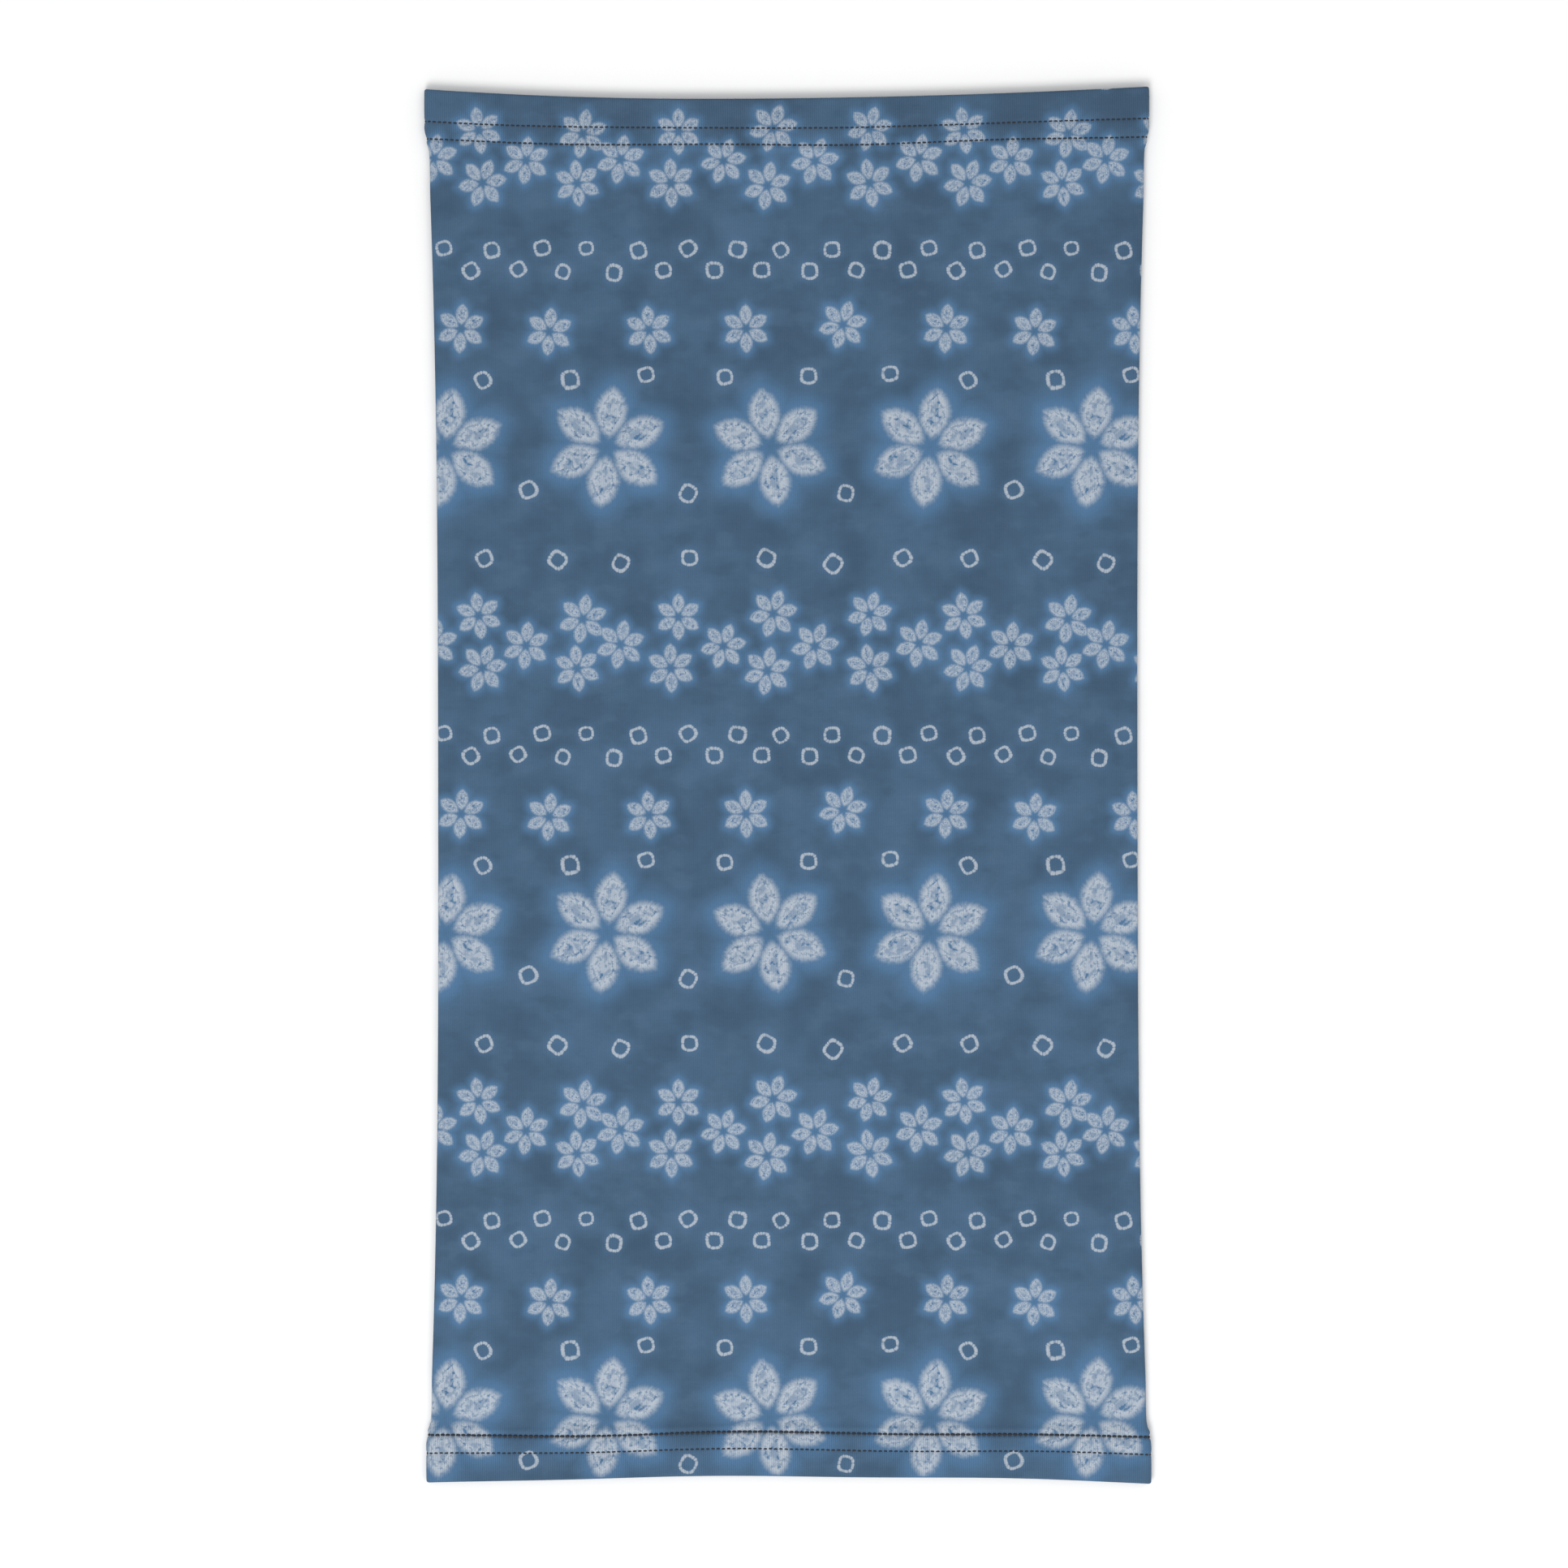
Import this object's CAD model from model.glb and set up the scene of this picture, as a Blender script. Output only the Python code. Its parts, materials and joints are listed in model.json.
import json
import math
import bmesh
import bpy
import numpy as np
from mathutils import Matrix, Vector


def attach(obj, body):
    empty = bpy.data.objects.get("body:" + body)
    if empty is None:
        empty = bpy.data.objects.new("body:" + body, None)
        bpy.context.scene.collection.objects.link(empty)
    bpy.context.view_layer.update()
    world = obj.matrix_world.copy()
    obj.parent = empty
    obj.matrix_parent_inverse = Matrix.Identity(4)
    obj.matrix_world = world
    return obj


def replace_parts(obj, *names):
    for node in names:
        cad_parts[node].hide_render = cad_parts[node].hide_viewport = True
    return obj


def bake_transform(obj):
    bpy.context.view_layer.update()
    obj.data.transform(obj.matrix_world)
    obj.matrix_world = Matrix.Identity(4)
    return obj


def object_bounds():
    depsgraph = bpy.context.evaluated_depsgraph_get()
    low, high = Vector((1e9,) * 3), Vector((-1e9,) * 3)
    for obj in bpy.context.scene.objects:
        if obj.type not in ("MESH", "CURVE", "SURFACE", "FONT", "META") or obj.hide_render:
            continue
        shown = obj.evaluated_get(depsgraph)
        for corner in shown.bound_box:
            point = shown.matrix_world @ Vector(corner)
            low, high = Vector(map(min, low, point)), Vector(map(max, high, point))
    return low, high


# Neck gaiter: the looks of a seamed tube of printed knit that lies flat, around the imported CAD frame.
# Lengths in this script are in millimetres, and become metres when a mesh is made.
# A place round the tube is c: 0 to 10 strips from the back seam, with 5 at the front centre. A place along it is y.

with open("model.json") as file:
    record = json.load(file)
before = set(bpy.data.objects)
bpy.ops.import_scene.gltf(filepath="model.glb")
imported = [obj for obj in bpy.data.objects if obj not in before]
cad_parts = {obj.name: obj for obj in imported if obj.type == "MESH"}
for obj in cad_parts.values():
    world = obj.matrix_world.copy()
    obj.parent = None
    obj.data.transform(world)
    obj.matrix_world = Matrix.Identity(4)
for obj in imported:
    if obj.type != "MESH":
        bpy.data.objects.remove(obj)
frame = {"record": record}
cad_low, cad_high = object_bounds()

MM = 0.001
HALF_HEM = cad_high.x / MM                     # half of the flat width across a hem
HALF_LENGTH = cad_high.y / MM                  # half of the corner-to-corner length
LAY_HEIGHT = cad_high.z / MM                   # height of the flat tube
MID_Z = LAY_HEIGHT / 2
PIECES = 10                                    # strips round the tube, and pieces of the knit
FRONT_CENTRE = 5                               # c of the front centre
SIDE_FOLD = 2.5                                # strips from either centre to a side fold
SIDE_PIECES = (2, 7)                           # the two pieces that cross a side fold
STRIP = HALF_HEM / SIDE_FOLD                   # width of a strip
BACK_SEAM_S = 2 * HALF_HEM + 2.2               # how far round the tube the back seam is from the front centre

# ==== The shape of the flat tube ====

PLY = 0.7                                      # thickness of the knit
HEM_T = 1.5                                    # knit with its turned-in hem
HEM_DEPTH = 19.0
STITCHES = 28                                  # coverstitches along one strip
FINE = 4                                       # mesh columns to a stitch in the hems
FOLD_RADIUS_HEM = 1.95                         # outer radius of the side fold
FOLD_RADIUS_BODY = 1.15
SWELL = 22.0                                   # distance from a side fold to the full height
WAIST = 122.95                                 # half of the flat width at the middle of the body
BODY_FLARE = 2.6                               # how much wider each side is where the body meets the hems
HEM_STEP = 0.8                                 # how far each hem stands out past the body
TOP_END, BOTTOM_END = 241.1, 242.8             # height of the two ends where they are lowest
CORNER_RADIUS = 0.7                            # of the rounding at the tube's four corners


def smooth(value, start, end):
    """0 before start, 1 after end, with an even turn between them."""
    t = np.clip((value - start) / (end - start), 0, 1)
    return t * t * (3 - 2 * t)


def bell(value, centre, width):
    return np.exp(-((value - centre) / width) ** 2)


def side_edges(y):
    """Middle and half of the flat width at y: the body narrows, and each hem stands out a little."""
    spread = np.minimum(np.abs(y), 235) / 210  # reaches 1 a little before the hems
    half = WAIST + BODY_FLARE * spread ** 3 + HEM_STEP * smooth(np.abs(y), 223, 231)
    lean = 0.33 - 0.38 * y / HALF_LENGTH
    return lean, half


def corner_drop(x):
    """How far the end of the tube falls away at its rounded corners, less than half a millimetre."""
    over = np.clip(np.abs(x) - (HALF_HEM - CORNER_RADIUS), 0, CORNER_RADIUS)
    least = 0.1                                # so that the end isn't sheer at the corner itself
    return CORNER_RADIUS - np.sqrt(np.maximum(CORNER_RADIUS ** 2 - over ** 2, least))


def top_edge(x):
    """Height of the top end, which bows up to both corners from its lowest point left of the middle."""
    lowest_x = -30
    bow = np.where(x < lowest_x, 3.5 / 97 ** 2, 4.4 / 157 ** 2)
    return TOP_END + bow * (x - lowest_x) ** 2 - corner_drop(x)


def bottom_edge(x):
    """Height of the bottom end, which bows down to both corners and waves a little."""
    return -(BOTTOM_END + 2.5 * (x / HALF_HEM) ** 2 + 0.25 * np.sin(x / 17.0) - corner_drop(x))


def quarter(c):
    """Folds c onto one quarter of the section: right or left, front or back, and strips from that layer's centre."""
    side = np.where(c < FRONT_CENTRE, 1.0, -1.0)
    right_fold, left_fold = FRONT_CENTRE - SIDE_FOLD, FRONT_CENTRE + SIDE_FOLD
    front = np.where((c > right_fold) & (c < left_fold), 1.0, -1.0)
    q = np.where(c < right_fold, c, np.where(c < left_fold, np.abs(c - FRONT_CENTRE), PIECES - c))
    return side, front, q


def plain_x(c):
    """X of c on a tube of the same width everywhere."""
    side, front, q = quarter(c)
    return side * q * STRIP


def needle_rows(x, top):
    """Distance of the two needle rows from the tube's end, which wander a little."""
    bow = (x / HALF_HEM) ** 2
    if top:
        first = 10.4 + 0.8 * bow + 0.22 * np.sin(x / 21.0 + 0.6)
        return first, first + 5.9 + 0.4 * bow + 0.2 * np.sin(x / 15.0)
    first = 9.4 + 0.7 * bow + 0.25 * np.sin(x / 19.0 + 2.0)
    return first, first + 5.8 + 0.5 * bow + 0.22 * np.sin(x / 26.0 + 1.0)


def pucker(c, y):
    """How far the stitches pull the outer face in at (c, y): creases at the needle rows, soft ridges beside them."""
    x = plain_x(c)
    total = 0.0
    for top in (True, False):
        u = top_edge(x) - y if top else y - bottom_edge(x)
        first, second = needle_rows(x, top)
        phase = 2 * math.pi * STITCHES * c
        pull = 0.72 - 0.28 * np.cos(phase)
        hold = 0.85 + 0.15 * np.sin(x / 13.0 + (1.0 if top else 2.4))
        outer_pull, inner_pull = 0.34, (0.55 if top else 1.15)
        total = total + outer_pull * pull * bell(u, first, 0.62) + inner_pull * pull * hold * bell(u, second, 0.7)

        between = np.clip((u - first) / (second - first), 0, 1)
        ripple = np.cos(phase * 0.5 + 3.0 * between) * 0.035 + np.cos(phase + 5.0 * between) * 0.045
        total = total - np.sin(math.pi * between) * (0.16 + ripple)

        near_end = np.clip(u / first, 0, 1)
        end_ridge = 0.07 + 0.02 * np.cos(phase * 0.5 + x / 9.0)
        total = total - np.sin(math.pi * near_end) * end_ridge

        body_ridge = (0.20 if top else 0.34) * (1 + 0.25 * np.sin(x / 11.0))
        total = total - body_ridge * bell(u, second + 1.7, 1.1)
        hem_to_body = 0.34                     # the thinner body lies a little lower beside the hem
        total = total + hem_to_body * smooth(u, second + 1.5, second + 5.0) * (1 - smooth(u, 24.0, 40.0))
    return total


def seam_pull(c):
    """The groove that the back seam makes in the outer face."""
    near = np.minimum(c, PIECES - c) * STRIP
    return 0.55 * bell(near, 0, 0.55) - 0.08 * bell(near, 1.6, 0.8)


def section(q, y):
    """At q strips from a layer's centre: the lean, the side fold's radius and start, and the distance round to q."""
    lean, half = side_edges(y)
    fold = FOLD_RADIUS_BODY + (FOLD_RADIUS_HEM - FOLD_RADIUS_BODY) * smooth(np.abs(y), 205, 226)
    flat_end = half - fold
    along = q / SIDE_FOLD * (flat_end + fold * math.pi / 2)
    return lean, fold, flat_end, along


def spline_weights(t):
    """The four weights of a smooth cubic spline at the fraction t of a cell."""
    return ((1 - t) ** 3 / 6, (3 * t ** 3 - 6 * t ** 2 + 4) / 6,
            (-3 * t ** 3 + 3 * t ** 2 + 3 * t + 1) / 6, t ** 3 / 6)


class Relaxed:
    """Offsets of the simulated cloth on a coarse grid, read smoothly at any place."""
    columns, rows = 80, 74
    grid = None

    @classmethod
    def at(cls, c, y):
        if cls.grid is None:
            return np.zeros(np.shape(c))
        fc = np.asarray(c) / PIECES * cls.columns
        fr = np.clip((np.asarray(y) + HALF_LENGTH) / (2 * HALF_LENGTH), 0, 1) * (cls.rows - 1)
        ic, ir = np.floor(fc).astype(int), np.floor(fr).astype(int)
        wc, wr = spline_weights(fc - ic), spline_weights(fr - ir)
        total = np.zeros(np.shape(c))
        for i in range(4):
            for j in range(4):
                row = np.clip(ir + j - 1, 0, cls.rows - 1)
                total += wc[i] * wr[j] * cls.grid[row, (ic + i - 1) % cls.columns]
        return total


def tube_point(c, y, depth, relaxed=True):
    """Place of the knit at (c, y), and depth in from its outer face."""
    c, y, depth = np.broadcast_arrays(np.asarray(c, float), np.asarray(y, float), np.asarray(depth, float))
    side, front, q = quarter(c)
    lean, fold, flat_end, along = section(q, y)
    turn = np.clip((along - flat_end) / fold, 0, math.pi / 2)
    x_flat = np.minimum(along, flat_end)
    height = fold + (MID_Z - fold) * smooth(flat_end - x_flat, 0, SWELL)
    in_fold = turn > 0
    across = np.where(in_fold, flat_end + (fold - depth) * np.sin(turn), x_flat)
    up = np.where(in_fold, (fold - depth) * np.cos(turn), height - depth)
    x, z = lean + side * across, MID_Z + front * up
    if relaxed:
        z = z + Relaxed.at(c, y) * smooth(flat_end - x_flat, 0, 12)
    return np.stack([x, y, z], -1)


def print_place(c, y_print, y):
    """Where a point is on the printed panel: along X it is straight on both layers, and runs on round the folds."""
    side, front, q = quarter(c)
    lean, fold, flat_end, along = section(q, y)
    u = np.where(front > 0, along, BACK_SEAM_S - along)
    return np.stack([(side * u + lean) * MM, y_print * MM], -1)


# ==== Cloth simulation of the tube, from which the wide soft shape comes ====

SETTLE_FRAMES = 40
MOST_RISE, MOST_SINK = 1.1, 0.3                # how far the settled cloth may leave its plain shape


def relax_tube():
    """A coarse tube with a little air in it settles; its back layer and its hems stay put."""
    columns, rows = Relaxed.columns, Relaxed.rows
    c = np.arange(columns) / columns * PIECES
    y = np.linspace(-HALF_LENGTH, HALF_LENGTH, rows)
    cc, yy = np.meshgrid(c, y)
    xx = plain_x(cc)
    ends = np.where(yy > 0, top_edge(xx) / HALF_LENGTH, -bottom_edge(xx) / HALF_LENGTH)
    start = tube_point(cc, yy * ends, PLY / 2, relaxed=False)
    verts = (start.reshape(-1, 3) * MM).tolist()
    faces = [(r * columns + i, (r + 1) * columns + i,
              (r + 1) * columns + (i + 1) % columns, r * columns + (i + 1) % columns)
             for r in range(rows - 1) for i in range(columns)]
    mesh = bpy.data.meshes.new("coarse_tube")
    mesh.from_pydata(verts, [], faces)
    tube = bpy.data.objects.new("coarse_tube", mesh)
    bpy.context.scene.collection.objects.link(tube)
    side, front, q = quarter(cc)
    back_layer = ((front < 0) & (q < 2.3)).astype(float)
    held = np.maximum(back_layer, smooth(np.abs(yy), 216, 228))
    group = tube.vertex_groups.new(name="held")
    for i, weight in enumerate(held.ravel()):
        group.add([i], float(weight), "REPLACE")
    cloth = tube.modifiers.new("Cloth", "CLOTH")
    s = cloth.settings
    s.quality = 6
    s.mass = 0.12
    s.tension_stiffness = s.compression_stiffness = 12
    s.shear_stiffness = 4
    s.bending_stiffness = 5
    s.vertex_group_mass = "held"
    s.shrink_min = -0.0003
    s.use_pressure = True
    s.uniform_pressure_force = 0.06
    s.effector_weights.gravity = 0
    cloth.collision_settings.use_collision = False
    scene = bpy.context.scene
    cloth.point_cache.frame_start, cloth.point_cache.frame_end = 1, SETTLE_FRAMES
    for number in range(1, SETTLE_FRAMES + 1):
        scene.frame_set(number)
    settled = tube.evaluated_get(bpy.context.evaluated_depsgraph_get()).to_mesh()
    co = np.zeros(len(verts) * 3)
    settled.vertices.foreach_get("co", co)
    move = co.reshape(rows, columns, 3) / MM - start
    bpy.data.objects.remove(tube)
    bpy.data.meshes.remove(mesh)
    scene.frame_set(1)
    rise = move[..., 2]
    limit = np.where(rise > 0, MOST_RISE, MOST_SINK)
    Relaxed.grid = limit * np.tanh(rise / limit)


relax_tube()

# ==== Node materials ====

REPEAT = 170.4                                 # the print repeats every so many millimetres, both ways


class Graph:
    """Adds nodes to a tree. A value may be a number or another node's socket."""

    def __init__(self, tree):
        self.tree = tree

    def put(self, value, socket):
        if isinstance(value, bpy.types.NodeSocket):
            self.tree.links.new(value, socket)
        else:
            socket.default_value = value

    def node(self, kind, inputs=None, **settings):
        made = self.tree.nodes.new(kind)
        for name, value in settings.items():
            setattr(made, name, value)
        for name, value in (inputs or {}).items():
            self.put(value, made.inputs[name])
        return made

    def math(self, operation, a, b=None, c=None, clamp=False):
        made = self.node("ShaderNodeMath", operation=operation, use_clamp=clamp)
        for i, value in enumerate((a, b, c)):
            if value is not None:
                self.put(value, made.inputs[i])
        return made.outputs[0]

    def add(self, a, b): return self.math("ADD", a, b)
    def sub(self, a, b): return self.math("SUBTRACT", a, b)
    def mul(self, a, b): return self.math("MULTIPLY", a, b)
    def div(self, a, b): return self.math("DIVIDE", a, b)
    def high(self, a, b): return self.math("MAXIMUM", a, b)
    def absolute(self, a): return self.math("ABSOLUTE", a)

    def ramp(self, value, start, end, low=0.0, high=1.0):
        """low at start, high at end, smooth between them; start may be above end."""
        if start > end:
            start, end, low, high = end, start, high, low
        made = self.node("ShaderNodeMapRange", {"Value": value}, interpolation_type="SMOOTHSTEP")
        for i, number in zip((1, 2, 3, 4), (start, end, low, high)):
            made.inputs[i].default_value = number
        return made.outputs[0]

    def vector(self, x, y, z=0.0):
        return self.node("ShaderNodeCombineXYZ", {"X": x, "Y": y, "Z": z}).outputs[0]

    def noise(self, vector, scale, detail=2.0, roughness=0.5):
        made = self.node("ShaderNodeTexNoise", {"Vector": vector, "Scale": scale, "Detail": detail,
                                                "Roughness": roughness})
        return made.outputs[0]

    def mix(self, factor, a, b, blend="MIX"):
        """Mixes two colours. The colour sockets of the mix node come after those of its other kinds."""
        made = self.node("ShaderNodeMix", data_type="RGBA", blend_type=blend)
        for i, value in ((0, factor), (6, a), (7, b)):
            self.put(value, made.inputs[i])
        return made.outputs[2]

    def shaded(self, colour, shade):
        """The colour, darkened or lightened by a grey."""
        tone = self.node("ShaderNodeCombineColor", {"Red": shade, "Green": shade, "Blue": shade})
        return self.mix(1.0, colour, tone.outputs[0], "MULTIPLY")

    def bump(self, strength, height_mm, height):
        made = self.node("ShaderNodeBump", {"Strength": strength, "Distance": height_mm * MM, "Height": height})
        return made.outputs[0]


def linear(red, green, blue):
    """A colour from its 0-255 display values."""
    parts = [v / 255 for v in (red, green, blue)]
    return tuple(v / 12.92 if v <= 0.04045 else ((v + 0.055) / 1.055) ** 2.4 for v in parts) + (1.0,)


MOTIF_INPUTS = ("X", "Y", "Phase", "Spacing", "Per repeat", "Level", "Size", "Stray", "Turn")


def motif_group(name):
    """An empty node group for one row of motifs. It gives how pale the motif is, and the glow round it."""
    tree = bpy.data.node_groups.new(name, "ShaderNodeTree")
    for n in MOTIF_INPUTS:
        tree.interface.new_socket(name=n, in_out="INPUT", socket_type="NodeSocketFloat")
    for n in ("Petal", "Halo"):
        tree.interface.new_socket(name=n, in_out="OUTPUT", socket_type="NodeSocketFloat")
    g = Graph(tree)
    source, sink = g.node("NodeGroupInput"), g.node("NodeGroupOutput")
    return g, source.outputs, sink.inputs


def motif_cell(g, i):
    """The place of a point in its motif's own cell of a row, and three chance numbers for that motif."""
    across = g.add(g.div(g.sub(i["X"], i["Phase"]), i["Spacing"]), 0.5)
    cell = g.math("FLOOR", across)
    index = g.math("FLOORED_MODULO", cell, i["Per repeat"])
    chance = g.node("ShaderNodeTexWhiteNoise", {"Vector": g.vector(index, i["Level"])}, noise_dimensions="2D")
    split = g.node("ShaderNodeSeparateColor", {"Color": chance.outputs["Color"]})
    r, s, t = split.outputs
    x = g.sub(g.mul(g.sub(g.sub(across, cell), 0.5), i["Spacing"]), g.mul(g.sub(r, 0.5), i["Stray"]))
    y = g.math("WRAP", g.sub(i["Y"], i["Level"]), REPEAT / 2, -REPEAT / 2)
    y = g.sub(y, g.mul(g.sub(s, 0.5), g.mul(i["Stray"], 0.6)))
    return x, y, r, s, t


def flower_group():
    """A row of six-petalled flowers, as stitched and tied resist dyeing leaves them. Lengths are in flower radii."""
    g, i, o = motif_group("flower_row")
    x, y, r, s, t = motif_cell(g, i)
    size = g.mul(i["Size"], g.add(0.93, g.mul(t, 0.1)))
    x, y = g.div(x, size), g.div(y, size)
    radius = g.math("SQRT", g.add(g.mul(x, x), g.mul(y, y)))
    angle = g.add(g.math("ARCTAN2", y, x), g.add(g.mul(g.sub(g.math("FRACT", g.mul(t, 7.3)), 0.5), i["Turn"]), 0.06))
    sixth = math.pi / 3
    from_up = g.add(angle, sixth / 2)
    inside = g.math("WRAP", from_up, sixth / 2, -sixth / 2)
    petal_number = g.math("FLOOR", g.add(g.div(from_up, sixth), 0.5))

    # a runs along the petal and b across it. The petal is where two circles overlap: edge is below 0 inside it.
    middle, circle_off, circle_radius = 0.56, 0.209, 0.469
    a = g.sub(g.mul(radius, g.math("COSINE", inside)), middle)
    b = g.mul(radius, g.math("SINE", inside))
    wide = g.add(g.absolute(b), circle_off)
    edge = g.sub(g.math("SQRT", g.add(g.mul(a, a), g.mul(wide, wide))), circle_radius)

    # The edge is torn by the stitches: streaks point at the petal's middle, and speckles lie all over it.
    seed = g.add(g.mul(petal_number, 3.7), g.mul(t, 60.0))
    spread = g.math("SQRT", g.add(g.add(g.mul(a, a), g.mul(b, b)), 0.0004))
    streak = g.noise(g.vector(g.div(a, spread), g.div(b, spread), seed), 9.0, 1.5, 0.6)
    speckle = g.noise(g.vector(a, b, seed), 15.0, 2.5, 0.6)
    rough = g.sub(streak, 0.5)
    torn = g.add(edge, g.add(g.mul(rough, 0.06), g.mul(g.sub(speckle, 0.5), 0.04)))
    petal = g.ramp(torn, 0.045, -0.115)

    # Dye creeps back in: a blotched core, a broken vein round it, and spots.
    blot = g.sub(g.noise(g.vector(a, b, g.add(seed, 4.0)), 5.0, 1.0, 0.5), 0.5)
    depth = g.sub(g.add(g.mul(rough, 0.10), g.mul(blot, 0.16)), edge)
    core = g.ramp(g.add(depth, g.mul(g.sub(speckle, 0.5), 0.16)), 0.125, 0.195)
    vein = g.sub(1.0, g.math("MINIMUM", g.div(g.absolute(g.sub(depth, 0.115)), 0.032), 1.0))
    broken = g.mul(vein, g.ramp(speckle, 0.42, 0.54))
    blotched = g.mul(core, g.ramp(g.noise(g.vector(a, b, g.add(seed, 17.0)), 8.0, 2.0, 0.55), 0.36, 0.56, 0.25, 1.0))
    spots = g.ramp(g.noise(g.vector(a, b, g.add(seed, 9.0)), 11.0, 2.0, 0.55), 0.54, 0.64)
    dim = g.add(g.add(g.mul(blotched, 0.56), g.mul(broken, 0.66)), g.mul(spots, 0.46))
    small_are_duller = g.ramp(i["Size"], 9.0, 20.0, 0.88, 1.0)
    g.put(g.mul(g.mul(petal, small_are_duller), g.math("SUBTRACT", 1.0, dim, clamp=True)), o["Petal"])
    away = g.div(g.high(edge, 0.0), 0.21)
    g.put(g.math("EXPONENT", g.mul(g.mul(away, away), -1.0)), o["Halo"])
    return g.tree


def ring_group():
    """A row of little tied rings, each a rounded square with a spoked edge."""
    g, i, o = motif_group("ring_row")
    x, y, r, s, t = motif_cell(g, i)
    size = g.mul(i["Size"], g.add(0.90, g.mul(r, 0.2)))
    turn = g.mul(g.sub(t, 0.5), i["Turn"])
    cos, sin = g.math("COSINE", turn), g.math("SINE", turn)
    a = g.absolute(g.div(g.sub(g.mul(x, cos), g.mul(y, sin)), size))
    b = g.absolute(g.mul(g.div(g.add(g.mul(x, sin), g.mul(y, cos)), size), g.add(0.9, g.mul(s, 0.18))))
    squareness = 2.8                           # 2 would be a circle
    power = g.add(g.math("POWER", a, squareness), g.math("POWER", b, squareness))
    wobble = g.noise(g.vector(x, y, g.mul(t, 40.0)), 0.35, 0.0, 0.5)
    reach = g.add(g.math("POWER", power, 1 / squareness), g.mul(g.sub(wobble, 0.5), 0.22))
    angle = g.math("ARCTAN2", y, x)
    spoke = g.noise(g.vector(g.math("COSINE", angle), g.math("SINE", angle),
                             g.add(g.mul(t, 50.0), g.mul(r, 9.0))), 5.2, 1.0, 0.6)
    off = g.absolute(g.sub(reach, 0.82))
    line = g.ramp(g.add(off, g.mul(g.sub(0.5, spoke), 0.16)), 0.23, 0.08)
    g.put(g.mul(line, g.ramp(spoke, 0.34, 0.50, 0.50, 0.88)), o["Petal"])
    away = g.div(g.high(g.sub(reach, 0.95), 0.0), 0.5)
    g.put(g.mul(g.math("EXPONENT", g.mul(g.mul(away, away), -1.0)), 0.30), o["Halo"])
    return g.tree


# Each row of the print: kind, phase along X, motifs to a repeat, height, size and stray in millimetres, and turn in
# radians. Every row comes again each REPEAT up and down the tube.
FLOWER, RING = "flower", "ring"
PRINT_ROWS = [
    (FLOWER, -6.3, 3, 118.6, 22.7, 0.6, 0.45),
    (FLOWER, -12.9, 5, 160.3, 8.8, 5.0, 0.5),
    (FLOWER, -5.3, 5, 59.2, 8.8, 4.0, 0.6),
    (FLOWER, -6.1, 5, 41.0, 8.8, 3.4, 0.6),
    (FLOWER, -22.9, 5, 49.6, 8.8, 3.0, 0.6),
    (RING, 7.9, 6, 143.3, 3.1, 4.0, 1.2),
    (RING, -34.7, 3, 103.0, 3.2, 3.0, 1.2),
    (RING, -9.3, 7, 78.8, 3.1, 4.6, 1.4),
    (RING, -18.4, 10, 17.6, 2.95, 2.4, 1.4),
    (RING, -26.4, 10, 10.2, 2.95, 2.4, 1.4),
]


def fabric_place(g):
    """X and Y on the flat print in millimetres, or along and round a thread."""
    uv = g.node("ShaderNodeUVMap", uv_map="fabric")
    split = g.node("ShaderNodeSeparateXYZ", {"Vector": uv.outputs[0]})
    return g.mul(split.outputs[0], 1000.0), g.mul(split.outputs[1], 1000.0)


WALE, COURSE = 0.747, 0.62                     # distance between the knit's ribs, and between its rows


def knit_height(g, x, y):
    """Height of the knit's face: ribs of small V-shaped stitches."""
    wander = g.mul(g.sub(g.noise(g.vector(x, y), 0.05, 1.0), 0.5), 1.2)
    across = g.math("PINGPONG", g.div(g.add(x, wander), WALE), 0.5)
    rib = g.math("SINE", g.mul(across, math.pi))
    slant = g.add(g.div(y, COURSE), g.mul(across, 0.9))
    stitch = g.math("SINE", g.mul(slant, 2 * math.pi))
    return g.add(g.mul(rib, 0.8), g.mul(stitch, 0.2)), rib


def principled(name):
    material = bpy.data.materials.new(name)
    material.use_nodes = True
    tree = material.node_tree
    tree.nodes.clear()
    g = Graph(tree)
    shader = g.node("ShaderNodeBsdfPrincipled")
    output = g.node("ShaderNodeOutputMaterial")
    tree.links.new(shader.outputs[0], output.inputs[0])
    return material, g, shader.inputs


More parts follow.
